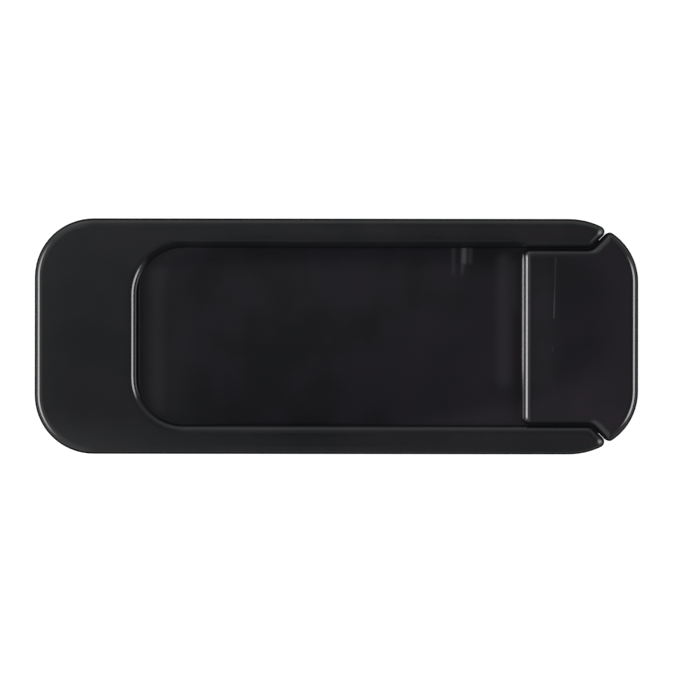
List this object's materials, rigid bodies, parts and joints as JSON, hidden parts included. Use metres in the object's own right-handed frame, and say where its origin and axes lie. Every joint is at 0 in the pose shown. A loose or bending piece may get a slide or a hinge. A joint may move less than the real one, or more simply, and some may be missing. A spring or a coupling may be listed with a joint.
{
  "type": "webcam cover slider",
  "caption": "Slim stick-on webcam cover: a rounded frame with undercut rails, in which a shutter plate with a raised end grip slides to bare or hide a camera window.",
  "frame": {"origin": "middle of the closed cover's footprint, on the sticky face of the pad", "axes": "+X along the slide, from the solid end towards the grip; +Y across it; +Z away from the surface that the pad sticks to"},
  "size_m": [0.041, 0.016, 0.002],
  "materials": {
    "frame_plastic": "polished black moulding",
    "shutter_plastic": "polished black moulding",
    "adhesive": "matte double-sided foam tape"
  },
  "bodies": {
    "frame": {"frame": "frame_plastic", "adhesive_pad": "adhesive"},
    "shutter": {"shutter": "shutter_plastic"}
  },
  "joints": [
    {"name": "shutter_slide", "type": "slide", "parent": "frame", "child": "shutter", "axis": [1, 0, 0], "range_m": [0, 0.008]}
  ]
}
